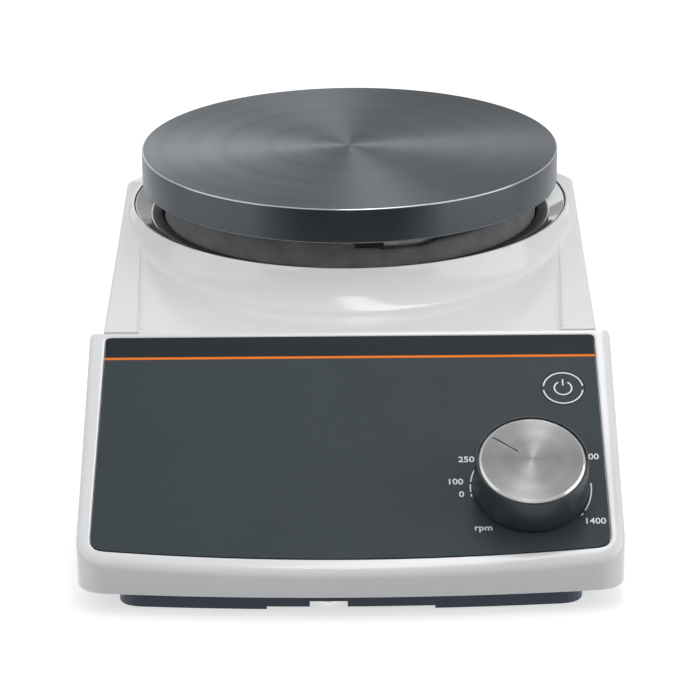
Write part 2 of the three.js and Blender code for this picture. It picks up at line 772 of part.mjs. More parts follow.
piece("control_lead", lead(1.7, controlRoute), "dark");
piece("motor_lead", lead(1.7, motorRoute), "dark");
piece("mains_lead", lead(2.2, mainsRoute), "dark");

export default stirrer;
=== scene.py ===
import json
from math import cos, pi, radians, sin, tan

import bmesh
import bpy
import numpy as np
from mathutils import Matrix, Vector


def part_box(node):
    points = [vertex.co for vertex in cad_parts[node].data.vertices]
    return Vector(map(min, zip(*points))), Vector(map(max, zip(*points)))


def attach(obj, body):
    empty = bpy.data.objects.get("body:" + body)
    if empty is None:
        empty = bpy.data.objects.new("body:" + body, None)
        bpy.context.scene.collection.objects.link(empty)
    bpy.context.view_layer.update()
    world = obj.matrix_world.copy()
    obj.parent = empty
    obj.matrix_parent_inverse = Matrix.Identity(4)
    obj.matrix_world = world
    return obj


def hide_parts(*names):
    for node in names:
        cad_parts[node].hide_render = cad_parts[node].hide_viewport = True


# Magnetic stirrer. Lengths here are in millimetres and become metres when a mesh is made.
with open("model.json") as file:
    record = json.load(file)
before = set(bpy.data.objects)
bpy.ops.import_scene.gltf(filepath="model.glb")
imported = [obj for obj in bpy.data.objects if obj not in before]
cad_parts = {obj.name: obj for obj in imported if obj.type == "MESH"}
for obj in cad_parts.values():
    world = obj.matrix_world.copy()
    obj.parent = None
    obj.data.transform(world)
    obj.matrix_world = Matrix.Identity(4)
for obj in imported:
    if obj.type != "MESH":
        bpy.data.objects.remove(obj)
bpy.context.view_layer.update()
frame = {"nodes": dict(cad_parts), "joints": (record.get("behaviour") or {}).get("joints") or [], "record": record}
nodes = frame["nodes"]
joints = {joint["name"]: joint for joint in frame["joints"]}
mm = 0.001
quarter = np.linspace(0, pi / 2, 7)


def nodeBox(name):
    low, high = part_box(name)
    return np.array(low) / mm, np.array(high) / mm


plateLow, plateHigh = nodeBox("stir_plate")
ringLow, ringHigh = nodeBox("drip_ring")
houseLow, houseHigh = nodeBox("housing_shell")
bezelLow, bezelHigh = nodeBox("front_bezel")
foilLow, foilHigh = nodeBox("control_panel")
feltLow = nodeBox("insulation_ring")[0]
bushLow, bushHigh = nodeBox("rod_bush")
inletLow, inletHigh = nodeBox("mains_inlet")
axisY = (plateLow[1] + plateHigh[1]) / 2
skirtZ = houseLow[2]

# The sloping panel: x across, v up the slope from its upper edge, h out of it.
foilThickness = 1.2
panelNormal = np.array(joints["knob_turn"]["axis"])
slope = np.arctan2(-panelNormal[1], panelNormal[2])
panelOrigin = np.array([0, foilHigh[1] - foilThickness * sin(slope), foilHigh[2]])
panelUp = np.array([0, cos(slope), sin(slope)])
panelAxes = np.array([[1, 0, 0], panelUp, panelNormal])
knobPlace = (np.array(joints["knob_turn"]["pos_m"]) / mm - panelOrigin) @ panelAxes.T
keyLow, keyHigh = nodeBox("power_key")
keyRadius = (keyHigh[0] - keyLow[0]) / 2
keyDown = (keyHigh[2] - panelOrigin[2]) / sin(slope) - keyRadius
keyPlace = np.array([(keyLow[0] + keyHigh[0]) / 2, keyDown, 0])


def onPanel(points):
    return panelOrigin + points @ panelAxes


camera = {
    "place": (4.84, -994.86, 412.53),
    "down": 20.776,
    "aside": -0.292,
    "roll": -0.55,
    "lens": 160.01,
}


def makeCamera():
    down, aside, roll = (radians(camera[key]) for key in ("down", "aside", "roll"))
    forward = Vector((sin(aside) * cos(down), cos(aside) * cos(down), -sin(down)))
    level = forward.cross(Vector((0, 0, 1))).normalized()
    upright = level.cross(forward)
    across = level * cos(roll) + upright * sin(roll)
    upward = upright * cos(roll) - level * sin(roll)
    data = bpy.data.cameras.new("camera")
    data.lens = camera["lens"]
    data.sensor_width = 36
    data.clip_end = 20
    made = bpy.data.objects.new("camera", data)
    turn = Matrix((across, upward, -forward)).transposed().to_4x4()
    made.matrix_world = Matrix.Translation(Vector(camera["place"]) * mm) @ turn
    bpy.context.collection.objects.link(made)
    bpy.context.scene.camera = made


lights = {  # place and aim in metres, size in metres, power in watts, colour
    "overheadBox": ((0.10, 0.14, 1.2), (0.08, 0, 0.05), (0.22, 1.5), 4.2, (1, 1, 1)),
    "leftBox": ((-1.16, -0.30, 0.55), (0, 0, 0.07), (1.2, 0.8), 3.0, (0.98, 0.99, 1)),
    "rightBox": ((1.16, -0.30, 0.55), (0, 0, 0.07), (1.2, 0.8), 4.6, (0.98, 0.99, 1)),
    "backBox": ((-0.20, 1.24, 0.45), (0, 0.05, 0.08), (0.45, 0.30), 0.36, (0.95, 0.975, 1)),
}
# Light from all round as grey levels: overhead, behind and in front, then from below at the sides
# and in front. Glossy pieces mirror the last two in place of the floor.
world = {"above": 0.72, "behind": 0.56, "front": 0.16, "belowSides": 1.0, "belowFront": 0.05}


def makeLights():
    for name, (place, aim, size, power, colour) in lights.items():
        data = bpy.data.lights.new(name, "AREA")
        data.shape = "RECTANGLE"
        data.size, data.size_y = size
        data.energy = power
        data.color = colour
        made = bpy.data.objects.new(name, data)
        made.location = place
        made.rotation_euler = (Vector(aim) - Vector(place)).to_track_quat("-Z", "Y").to_euler()
        bpy.context.collection.objects.link(made)
    surroundings = bpy.data.worlds.new("surroundings")
    surroundings.use_nodes = True
    tree = surroundings.node_tree
    toward = node(tree, "ShaderNodeSeparateXYZ", {0: node(tree, "ShaderNodeTexCoord").outputs["Generated"]})
    side = ramp(tree, toward.outputs["Y"], -0.8, 0.8, world["front"], world["behind"])
    upper = ramp(tree, toward.outputs["Z"], 0.15, 0.8)
    lower = ramp(tree, toward.outputs["Z"], -0.04, -0.16)
    sky = calc(tree, "MULTIPLY_ADD", upper, calc(tree, "SUBTRACT", world["above"], side), side)
    below = ramp(tree, toward.outputs["Y"], -0.86, -0.60, world["belowFront"], world["belowSides"])
    level = calc(tree, "MULTIPLY_ADD", lower, calc(tree, "SUBTRACT", below, sky), sky)
    background = tree.nodes["Background"]
    background.inputs["Color"].default_value = (0.985, 0.993, 1, 1)
    tree.links.new(level, background.inputs["Strength"])
    bpy.context.scene.world = surroundings
    bpy.context.scene.view_settings.view_transform = "Standard"


def node(tree, kind, inputs=None, **settings):
    made = tree.nodes.new(kind)
    for key, value in settings.items():
        setattr(made, key, value)
    for key, value in (inputs or {}).items():
        if isinstance(value, bpy.types.NodeSocket):
            tree.links.new(value, made.inputs[key])
        else:
            made.inputs[key].default_value = value
    return made


def calc(tree, operation, first, second=0.0, third=0.0):
    return node(tree, "ShaderNodeMath", {0: first, 1: second, 2: third}, operation=operation).outputs[0]


def ramp(tree, value, low, high, toLow=0.0, toHigh=1.0):
    made = node(tree, "ShaderNodeMapRange", {"Value": value, "From Min": low, "From Max": high}, clamp=True)
    made.inputs["To Min"].default_value = toLow
    made.inputs["To Max"].default_value = toHigh
    return made.outputs["Result"]


def blend(tree, factor, first, second):
    made = node(tree, "ShaderNodeMix", data_type="RGBA")
    for index, value in ((0, factor), (6, first), (7, second)):
        if isinstance(value, bpy.types.NodeSocket):
            tree.links.new(value, made.inputs[index])
        else:
            made.inputs[index].default_value = value if index == 0 else (*value, 1)
    return made.outputs[2]


def newGroup(name, inputs, outputs):
    tree = bpy.data.node_groups.new(name, "ShaderNodeTree")
    for socket, kind, value in inputs:
        made = tree.interface.new_socket(name=socket, in_out="INPUT", socket_type="NodeSocket" + kind)
        if value is not None:
            made.default_value = value
    for socket, kind in outputs:
        tree.interface.new_socket(name=socket, in_out="OUTPUT", socket_type="NodeSocket" + kind)
    return tree, node(tree, "NodeGroupInput").outputs, node(tree, "NodeGroupOutput").inputs


# Slow cloudy variation, from 0 to 1 around a half.
def makeCloudGroup():
    inputs = [("Vector", "Vector", None), ("Size", "Float", 20.0)]
    tree, given, result = newGroup("cloud", inputs, [("Value", "Float")])
    fineShare, finer = 0.3, 7.3
    scale = calc(tree, "DIVIDE", 1 / mm, given["Size"])
    fineScale = calc(tree, "MULTIPLY", scale, finer)
    coarse = node(tree, "ShaderNodeTexNoise", {"Vector": given["Vector"], "Scale": scale, "Detail": 4.0})
    fine = node(tree, "ShaderNodeTexNoise", {"Vector": given["Vector"], "Scale": fineScale})
    mixed = calc(tree, "MULTIPLY", coarse.outputs["Fac"], 1 - fineShare)
    mixed = calc(tree, "MULTIPLY_ADD", fine.outputs["Fac"], fineShare, mixed)
    tree.links.new(ramp(tree, mixed, 0.3, 0.7), result["Value"])
    return tree


# Moulding grain: small rounded cells with a finer noise in them, as a height.
def makeGrainGroup():
    inputs = [("Vector", "Vector", None), ("Size", "Float", 0.5)]
    tree, given, result = newGroup("grain", inputs, [("Height", "Float")])
    cellShare, fineShare = 0.7, 0.5
    spot = {"Vector": given["Vector"], "Scale": calc(tree, "DIVIDE", 1 / mm, given["Size"])}
    cells = node(tree, "ShaderNodeTexVoronoi", spot, feature="SMOOTH_F1")
    fine = node(tree, "ShaderNodeTexNoise", {**spot, "Detail": 2.0})
    height = calc(tree, "MULTIPLY", cells.outputs["Distance"], cellShare)
    height = calc(tree, "MULTIPLY_ADD", fine.outputs["Fac"], fineShare, height)
    tree.links.new(height, result["Height"])
    return tree


# Rubbed edges: where a rounded normal leaves the true one, broken up by noise.
def makeEdgeGroup():
    inputs = [("Vector", "Vector", None), ("Reach", "Float", 0.5)]
    tree, given, result = newGroup("edgeWear", inputs, [("Mask", "Float")])
    reach = calc(tree, "MULTIPLY", given["Reach"], mm)
    rounded = node(tree, "ShaderNodeBevel", {"Radius": reach}, samples=4)
    pair = {0: rounded.outputs[0], 1: node(tree, "ShaderNodeNewGeometry").outputs["Normal"]}
    apart = node(tree, "ShaderNodeVectorMath", pair, operation="DOT_PRODUCT")
    corner = ramp(tree, apart.outputs["Value"], 0.99, 0.8)
    broken = node(tree, "ShaderNodeTexNoise", {"Vector": given["Vector"], "Scale": 260.0, "Detail": 3.0})
    mask = calc(tree, "MULTIPLY", corner, ramp(tree, broken.outputs["Fac"], 0.4, 0.62))
    tree.links.new(mask, result["Mask"])
    return tree


# Marks of turning: fine rings about the centre of the vector, and slow bands of the same kind.
def makeRingGroup():
    inputs = [("Vector", "Vector", None), ("Pitch", "Float", 0.3)]
    outputs = [("Height", "Float"), ("Streak", "Float"), ("Distance", "Float")]
    tree, given, result = newGroup("turnedRings", inputs, outputs)
    flat = node(tree, "ShaderNodeVectorMath", {0: given["Vector"], 1: (1, 1, 0)}, operation="MULTIPLY")
    distance = node(tree, "ShaderNodeVectorMath", {0: flat.outputs[0]}, operation="LENGTH").outputs["Value"]
    distance = calc(tree, "MULTIPLY", distance, 1 / mm)
    tree.links.new(distance, result["Distance"])
    place = calc(tree, "DIVIDE", distance, given["Pitch"])
    spot = node(tree, "ShaderNodeCombineXYZ", {"X": place})
    fine = node(tree, "ShaderNodeTexNoise", {"Vector": spot.outputs[0], "Scale": 1.0, "Detail": 3.0})
    slow = node(tree, "ShaderNodeTexNoise", {"Vector": spot.outputs[0], "Scale": 0.13, "Detail": 2.0})
    tree.links.new(fine.outputs["Fac"], result["Height"])
    tree.links.new(ramp(tree, slow.outputs["Fac"], 0.3, 0.7), result["Streak"])
    return tree


print("building shader groups")
groups = {
    "cloud": makeCloudGroup(),
    "grain": makeGrainGroup(),
    "edgeWear": makeEdgeGroup(),
    "turnedRings": makeRingGroup(),
}


def grouped(tree, name, inputs):
    made = tree.nodes.new("ShaderNodeGroup")
    made.node_tree = groups[name]
    for key, value in inputs.items():
        if isinstance(value, bpy.types.NodeSocket):
            tree.links.new(value, made.inputs[key])
        else:
            made.inputs[key].default_value = value
    return made.outputs


# Each finish: colour and its darker variation, gloss and its spread, grain size and depth, edge wear.
finishes = {
    "whiteMoulding": {
        "colour": (0.80, 0.80, 0.808), "second": (0.768, 0.769, 0.776), "cloud": 60, "rough": (0.13, 0.22),
        "grain": (0.9, 0.006), "wear": (0.6, (0.9, 0.9, 0.9), 0.25), "coat": 0.35,
    },
    "panelFoil": {
        "colour": (0.050, 0.064, 0.074), "second": (0.046, 0.059, 0.068), "cloud": 30, "rough": (0.36, 0.44),
        "grain": (0.35, 0.012), "wear": (0.3, (0.12, 0.13, 0.14), 0.3), "specular": 0.09,
    },
    "basePlastic": {
        "colour": (0.105, 0.130, 0.175), "second": (0.092, 0.115, 0.155), "cloud": 18, "rough": (0.42, 0.56),
        "grain": (0.6, 0.05), "wear": (0.8, (0.09, 0.11, 0.14), 0.6),
    },
    "ringPlastic": {
        "colour": (0.022, 0.028, 0.038), "second": (0.016, 0.020, 0.028), "cloud": 25, "rough": (0.05, 0.12),
        "grain": (1.2, 0.003), "wear": (0.5, (0.08, 0.09, 0.11), 0.4), "coat": 1.0, "specular": 1.0,
    },
    "felt": {
        "colour": (0.29, 0.29, 0.297), "second": (0.19, 0.19, 0.195), "cloud": 7, "rough": (0.9, 1.0),
        "grain": (0.5, 0.20), "wear": (0.6, (0.30, 0.29, 0.28), 0.4), "sheen": 0.5,
    },
    "bareAluminium": {
        "colour": (0.60, 0.61, 0.62), "second": (0.50, 0.51, 0.52), "cloud": 22, "rough": (0.28, 0.42),
        "grain": (0.4, 0.01), "wear": (0.6, (0.8, 0.8, 0.8), 0.6), "metal": 1.0,
    },
    "brightSteel": {
        "colour": (0.58, 0.585, 0.59), "second": (0.46, 0.465, 0.47), "cloud": 6, "rough": (0.22, 0.36),
        "grain": (0.25, 0.01), "wear": (0.3, (0.8, 0.8, 0.8), 0.7), "metal": 1.0,
    },
    "groundSteel": {
        "colour": (0.50, 0.505, 0.51), "second": (0.38, 0.385, 0.39), "cloud": 9, "rough": (0.25, 0.4),
        "grain": (0.3, 0.015), "wear": (0.4, (0.75, 0.75, 0.75), 0.6), "metal": 1.0,
    },
    "knobPlastic": {
        "colour": (0.040, 0.049, 0.055), "second": (0.034, 0.042, 0.048), "cloud": 12, "rough": (0.30, 0.42),
        "grain": (0.5, 0.02), "wear": (0.4, (0.09, 0.1, 0.11), 0.5),
    },
    "winding": {
        "colour": (0.50, 0.20, 0.08), "second": (0.22, 0.13, 0.09), "cloud": 3, "rough": (0.3, 0.5),
        "grain": (0.5, 0.12), "wear": (0.4, (0.62, 0.36, 0.2), 0.5), "metal": 0.8,
    },
    "magnetMetal": {
        "colour": (0.42, 0.42, 0.43), "second": (0.32, 0.32, 0.33), "cloud": 8, "rough": (0.2, 0.34),
        "grain": (0.6, 0.01), "wear": (0.4, (0.7, 0.7, 0.7), 0.7), "metal": 1.0,
    },
    "darkPlastic": {
        "colour": (0.019, 0.020, 0.022), "second": (0.013, 0.014, 0.016), "cloud": 9, "rough": (0.4, 0.55),
        "grain": (0.5, 0.04), "wear": (0.5, (0.07, 0.07, 0.075), 0.6),
    },
    "contactBrass": {
        "colour": (0.62, 0.48, 0.24), "second": (0.48, 0.36, 0.17), "cloud": 4, "rough": (0.22, 0.38),
        "grain": (0.3, 0.01), "wear": (0.3, (0.8, 0.7, 0.45), 0.7), "metal": 1.0,
    },
    "boardGreen": {
        "colour": (0.015, 0.12, 0.045), "second": (0.01, 0.085, 0.032), "cloud": 3, "rough": (0.3, 0.45),
        "grain": (0.7, 0.03), "wear": (0.3, (0.4, 0.36, 0.2), 0.6),
    },
    "footRubber": {
        "colour": (0.022, 0.022, 0.022), "second": (0.014, 0.014, 0.014), "cloud": 4, "rough": (0.75, 0.9),
        "grain": (0.3, 0.06), "wear": (0.5, (0.06, 0.06, 0.06), 0.5),
    },
    "leadJacket": {
        "colour": (0.03, 0.03, 0.031), "second": (0.02, 0.02, 0.021), "cloud": 8, "rough": (0.5, 0.65),
        "grain": (0.4, 0.03), "wear": (0.3, (0.07, 0.07, 0.07), 0.4),
    },
    "printWhite": {
        "colour": (0.86, 0.87, 0.88), "second": (0.78, 0.79, 0.80), "cloud": 2, "rough": (0.45, 0.55),
        "grain": (0.2, 0.01), "wear": (0.1, (0.45, 0.47, 0.48), 0.4),
    },
}


# The common recipe: cloudy colour, gloss spread by the same cloud, grain as bump, pale rubbed edges.
def startMaterial(name, look):
    made = bpy.data.materials.new(name)
    made.use_nodes = True
    tree = made.node_tree
    tree.nodes.clear()
    spot = node(tree, "ShaderNodeTexCoord").outputs["Object"]
    cloud = grouped(tree, "cloud", {"Vector": spot, "Size": float(look["cloud"])})["Value"]
    grainSize, grainDepth = look["grain"]
    grain = grouped(tree, "grain", {"Vector": spot, "Size": float(grainSize)})["Height"]
    reach, wornColour, wornAmount = look["wear"]
    edge = grouped(tree, "edgeWear", {"Vector": spot, "Reach": float(reach)})["Mask"]
    worn = calc(tree, "MULTIPLY", edge, wornAmount)
    colour = blend(tree, worn, blend(tree, cloud, look["colour"], look["second"]), wornColour)
    bump = node(tree, "ShaderNodeBump", {"Height": grain, "Distance": grainDepth * mm, "Strength": 1.0})
    low, high = look["rough"]
    shader = node(tree, "ShaderNodeBsdfPrincipled", {
        "Base Color": colour,
        "Roughness": ramp(tree, cloud, 0.0, 1.0, low, high),
        "Metallic": look.get("metal", 0.0),
        "Coat Weight": look.get("coat", 0.0),
        "Coat Roughness": 0.08,
        "Sheen Weight": look.get("sheen", 0.0),
        "Specular IOR Level": look.get("specular", 0.5),
        "Normal": bump.outputs[0],
    })
    node(tree, "ShaderNodeOutputMaterial", {"Surface": shader.outputs[0]})
    return made, tree, {"spot": spot, "cloud": cloud, "colour": colour, "bump": bump, "shader": shader}


plateLook = {
    "colour": (0.108, 0.120, 0.131), "second": (0.098, 0.109, 0.119), "cloud": 40, "rough": (0.30, 0.36),
    "grain": (0.25, 0.006), "wear": (0.5, (0.62, 0.63, 0.64), 0.8), "metal": 1.0,
    "pitch": 1.0, "ringDepth": 0.006, "anisotropic": 0.95,
    # from which radius to which the edge band is lightened, real polish with a painted highlight in its colour,
    # and how far the fainter inner disc reaches
    "polishedPaintedHighlight": (72.03, 72.47), "polishedPaintedHighlightColour": (0.62, 0.64, 0.66), "inner": 29.4, "innerShade": 0.9,
}
capLook = {
    "colour": (0.25, 0.25, 0.25), "second": (0.225, 0.225, 0.225), "cloud": 20, "rough": (0.36, 0.42),
    "grain": (0.2, 0.003), "wear": (0.3, (0.9, 0.9, 0.9), 0.9), "metal": 1.0,
    "pitch": 0.6, "ringDepth": 0.014, "anisotropic": 1.0,
    # the chamfer band: real polish, made lighter in colour as a painted highlight
    "polishedPaintedHighlight": (15.6, 16.6), "polishedPaintedHighlightColour": (0.80, 0.80, 0.79), "inner": 0.5, "innerShade": 1.0,
}


# Metal turned on a lathe: the common recipe, rings about the piece's own centre, a smoother band at its edge whose
# lighter colour is a painted highlight as well as polish, and a slightly different inner disc. The gloss stretches
# across the rings.
def makeTurnedMaterial(name, look, centre, tilt):
    made, tree, part = startMaterial(name, look)
    middle = node(tree, "ShaderNodeMapping", {"Vector": part["spot"]}, vector_type="TEXTURE")
    middle.inputs["Location"].default_value = Vector(centre) * mm
    middle.inputs["Rotation"].default_value = (tilt, 0, 0)
    rings = grouped(tree, "turnedRings", {"Vector": middle.outputs[0], "Pitch": look["pitch"]})
    ringBump = node(tree, "ShaderNodeBump", {
        "Height": rings["Height"], "Distance": look["ringDepth"] * mm, "Normal": part["bump"].outputs[0],
    })
    shader = part["shader"]
    tree.links.new(ringBump.outputs[0], shader.inputs["Normal"])
    start, end = look["polishedPaintedHighlight"]
    acrossRings, polish = 0.25, -0.45
    # the edge band: smoother for its polish, and lighter in colour as a painted highlight
    started = ramp(tree, rings["Distance"], start - 0.04, start + 0.04)
    polishedPaintedHighlight = calc(tree, "MULTIPLY", started, ramp(tree, rings["Distance"], end + 0.02, end - 0.02))
    inside = ramp(tree, rings["Distance"], look["inner"] + 0.1, look["inner"] - 0.1)
    shaded = [level * look["innerShade"] for level in look["colour"]]
    colour = blend(tree, inside, part["colour"], shaded)
    tree.links.new(blend(tree, polishedPaintedHighlight, colour, look["polishedPaintedHighlightColour"]), shader.inputs["Base Color"])
    low, high = look["rough"]
    rough = ramp(tree, rings["Streak"], 0.0, 1.0, low, high)
    smoother = calc(tree, "MULTIPLY_ADD", polishedPaintedHighlight, polish, 1.0)
    tree.links.new(calc(tree, "MULTIPLY", rough, smoother), shader.inputs["Roughness"])
    shader.inputs["Anisotropic"].default_value = look["anisotropic"]
    shader.inputs["Anisotropic Rotation"].default_value = acrossRings
    tangent = node(tree, "ShaderNodeTangent", direction_type="RADIAL", axis="Z")
    tree.links.new(tangent.outputs[0], shader.inputs["Tangent"])
    return made


foilPrint = {
    "lineBelow": 8.8, "lineWidth": 0.95, "line": (0.90, 0.205, 0.018), "header": (0.004, 0.009, 0.012),
    "headerShare": 0.7,
}


# The foil: a darker header, an orange line across it, then the blue-grey field.
def makeFoilMaterial():
    made, tree, part = startMaterial("panelFoil", finishes["panelFoil"])
    pair = {0: part["spot"], 1: Vector(panelOrigin) * mm}
    start = node(tree, "ShaderNodeVectorMath", pair, operation="SUBTRACT").outputs[0]
    along = node(tree, "ShaderNodeVectorMath", {0: start, 1: Vector(panelUp)}, operation="DOT_PRODUCT")
    down = calc(tree, "MULTIPLY", along.outputs["Value"], -1 / mm)
    offLine = calc(tree, "ABSOLUTE", calc(tree, "SUBTRACT", down, foilPrint["lineBelow"]))
    half = foilPrint["lineWidth"] / 2
    onLine = ramp(tree, offLine, half + 0.04, half - 0.04)
    line = foilPrint["lineBelow"]
    inHeader = ramp(tree, down, line + 0.1, line - 0.1, 0.0, foilPrint["headerShare"])
    colour = blend(tree, inHeader, part["colour"], foilPrint["header"])
    tree.links.new(blend(tree, onLine, colour, foilPrint["line"]), part["shader"].inputs["Base Color"])
    return made


ringLook = {"collarEdge": 69.4, "collarSoft": 0.3, "collarRough": 0.5, "coatIor": 3.2}


# The drip ring: a glossy bevel, and a satin collar inside it.
def makeRingMaterial():
    made, tree, part = startMaterial("ringPlastic", finishes["ringPlastic"])
    middle = node(tree, "ShaderNodeMapping", {"Vector": part["spot"]}, vector_type="TEXTURE")
    middle.inputs["Location"].default_value = Vector((0, axisY, 0)) * mm
    distance = grouped(tree, "turnedRings", {"Vector": middle.outputs[0]})["Distance"]
    edge, soft = ringLook["collarEdge"], ringLook["collarSoft"]
    glossy = ramp(tree, distance, edge - soft, edge + soft)
    shader = part["shader"]
    low, high = finishes["ringPlastic"]["rough"]
    satin = calc(tree, "SUBTRACT", 1.0, glossy)
    rough = ramp(tree, part["cloud"], 0.0, 1.0, low, high)
    rough = calc(tree, "MULTIPLY_ADD", satin, ringLook["collarRough"], rough)
    tree.links.new(rough, shader.inputs["Roughness"])
    tree.links.new(glossy, shader.inputs["Coat Weight"])
    shader.inputs["Coat IOR"].default_value = ringLook["coatIor"]
    return made


# Clear glass with a faint tint; its metallic and transmission stay plain.
def makeGlassMaterial():
    look = dict(finishes["whiteMoulding"], colour=(0.8, 0.85, 0.85), second=(0.75, 0.8, 0.8))
    look["rough"] = (0.02, 0.06)
    made, _, part = startMaterial("fuseGlass", look)
    part["shader"].inputs["Transmission Weight"].default_value = 0.9
    part["shader"].inputs["Coat Weight"].default_value = 0.0
    return made


print("building materials")
special = ("panelFoil", "ringPlastic")
materials = {name: startMaterial(name, look)[0] for name, look in finishes.items() if name not in special}
materials["ringPlastic"] = makeRingMaterial()
materials["panelFoil"] = makeFoilMaterial()
materials["fuseGlass"] = makeGlassMaterial()
materials["plateMetal"] = makeTurnedMaterial("plateMetal", plateLook, (0, axisY, 0), 0)
materials["knobMetal"] = makeTurnedMaterial("knobMetal", capLook, onPanel(knobPlace), slope)

# The record's slots and the finish that each one gets here.
slotFinishes = {
    "white_moulding": "whiteMoulding", "panel_foil": "panelFoil", "base_plastic": "basePlastic",
    "ring_plastic": "ringPlastic", "plate_metal": "plateMetal", "felt": "felt",
    "bare_aluminium": "bareAluminium", "bright_steel": "brightSteel", "ground_steel": "groundSteel",
    "knob_plastic": "knobPlastic", "knob_metal": "knobMetal", "winding": "winding",
    "magnet_metal": "magnetMetal", "dark_plastic": "darkPlastic", "contact_brass": "contactBrass",
    "board_green": "boardGreen", "fuse_glass": "fuseGlass", "foot_rubber": "footRubber",
    "lead_jacket": "leadJacket",
}


def dressFrame():
    for part in frame["record"]["subparts"]:
        kept = nodes[part["node"]]
        kept.data.materials.clear()
        kept.data.materials.append(materials[slotFinishes[part["material_slot"]]])


# Points on a grid of two parameters, closed along each where it wraps, as one mesh.
def surface(name, points, wrapFirst=True, wrapSecond=True):
    rows, columns = points.shape[:2]
    first = np.arange(rows if wrapFirst else rows - 1)[:, None]
    second = np.arange(columns if wrapSecond else columns - 1)[None, :]
    nextFirst, nextSecond = (first + 1) % rows, (second + 1) % columns
    corners = (
        first * columns + second, nextFirst * columns + second,
        nextFirst * columns + nextSecond, first * columns + nextSecond,
    )
    faces = np.stack([corner.ravel() for corner in corners], axis=1)
    mesh = bpy.data.meshes.new(name)
    mesh.from_pydata((points.reshape(-1, 3) * mm).tolist(), [], faces.tolist())
    cleanMesh(mesh)
    made = bpy.data.objects.new(name, mesh)
    bpy.context.collection.objects.link(made)
    return made


# Merges doubled points, drops what has collapsed and turns the faces outwards.
def cleanMesh(mesh, reach=2e-6):
    work = bmesh.new()
    work.from_mesh(mesh)
    bmesh.ops.remove_doubles(work, verts=work.verts, dist=reach)
    bmesh.ops.dissolve_degenerate(work, edges=work.edges, dist=reach / 2)
    loose = [edge for edge in work.edges if not edge.link_faces]
    bmesh.ops.delete(work, geom=loose, context="EDGES")
    bmesh.ops.recalc_face_normals(work, faces=work.faces)
    work.to_mesh(mesh)
    work.free()


def finishPiece(piece, finish, body, slot, *replaced, sharp=32):
    piece.data.materials.clear()
    piece.data.materials.append(materials[finish])
    piece.data.shade_smooth()
    piece.data.set_sharp_from_angle(angle=radians(sharp))
    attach(piece, body)
    if replaced:
        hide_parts(*replaced)
    return piece


# A closed outline through corners [x, y, radius], with a true arc at each rounded one.
def filleted(corners, steps=7):
    outline = []
    for i, (x, y, radius) in enumerate(corners):
        here = np.array([x, y], float)
        if radius == 0:
            outline.append(here[None])
            continue
        before = np.array(corners[i - 1][:2]) - here
        after = np.array(corners[(i + 1) % len(corners)][:2]) - here
        before = before / np.linalg.norm(before)
        after = after / np.linalg.norm(after)
        half = np.arccos(np.clip(before @ after, -1, 1)) / 2
        inward = (before + after) / np.linalg.norm(before + after)
        centre = here + inward * radius / sin(half)
        start = here + before * radius / tan(half) - centre
        end = here + after * radius / tan(half) - centre
        share = np.linspace(0, 1, steps)[:, None]
        sweep = pi - 2 * half
        arc = (start * np.sin((1 - share) * sweep) + end * np.sin(share * sweep)) / sin(sweep)
        outline.append(centre + arc)
    return np.vstack(outline)


# A profile of radius and height turned about an upright line: x = r cos a, y = r sin a.
def lathe(name, profile, segments, centre=(0, 0), onAxis=True):
    angle = np.linspace(0, 2 * pi, segments, endpoint=False)[:, None]
    radius, height = profile[:, 0][None], profile[:, 1][None]
    points = np.stack([
        centre[0] + radius * np.cos(angle),
        centre[1] + radius * np.sin(angle),
        height + 0 * angle,
    ], axis=2)
    return points if name is None else surface(name, points, wrapSecond=not onAxis)


# Cuts other meshes out of a piece and throws them away.
def carve(piece, *cutters):
    for cutter in cutters:
        modifier = piece.modifiers.new("cut", "BOOLEAN")
        modifier.operation = "DIFFERENCE"
        modifier.object = cutter
        modifier.solver = "EXACT"
    bpy.context.view_layer.update()
    evaluated = piece.evaluated_get(bpy.context.evaluated_depsgraph_get())
    carved = bpy.data.meshes.new_from_object(evaluated)
    piece.modifiers.clear()
    piece.data = carved
    for cutter in cutters:
        bpy.data.objects.remove(cutter)
    return piece


def boxPoints(low, high):
    across = np.array([[0, 0], [1, 0], [1, 1], [0, 1]], float)
    levels = np.array([0, 1], float)
    points = np.zeros((4, 4, 3))
    rise = [levels[0], levels[0], levels[1], levels[1]]
    reach = [0, 1, 1, 0]
    centre = np.array([0.5, 0.5])
    for i, (height, share) in enumerate(zip(rise, reach)):
        points[:, i, :2] = centre + (across - centre) * share
        points[:, i, 2] = height
    return np.array(low) + points * (np.array(high) - np.array(low))


# How far an outline lies from a centre, at each angle seen from it.
def polarRadius(outline, centre, angles):
    following = np.roll(outline, -1, axis=0)
    share = np.linspace(0, 1, 160, endpoint=False)[None, :, None]
    dense = (outline[:, None] * (1 - share) + following[:, None] * share).reshape(-1, 2)
    offset = dense - np.array(centre)
    around = np.arctan2(offset[:, 1], offset[:, 0])
    return np.interp(angles, *orderBy(around, np.hypot(offset[:, 0], offset[:, 1])), period=2 * pi)


def orderBy(keys, values):
    order = np.argsort(keys)
    return keys[order], values[order]


# Even angles all round, with exact ones added where an outline has a corner.
def anglesThrough(corners, centre, count):
    offset = np.array(corners, float) - np.array(centre)
    keys = np.arctan2(offset[:, 1], offset[:, 0])
    even = np.linspace(-pi, pi, count, endpoint=False)
    apart = np.abs(even[:, None] - keys[None, :]).min(axis=1)
    return np.sort(np.concatenate([even[apart > 0.3 * 2 * pi / count], keys]))


# The larger of two heights, with a fillet of the given reach where they meet.
def softMax(first, second, reach):
    near = np.maximum(reach - np.abs(first - second), 0) / reach
    return np.maximum(first, second) + near * near * reach / 4


plate = {
    "segments": 288, "web": 5, "wall": 3.2, "edge": 0.45, "lowerEdge": 0.6, "innerEdge": 0.4, "fillet": 1.2,
}


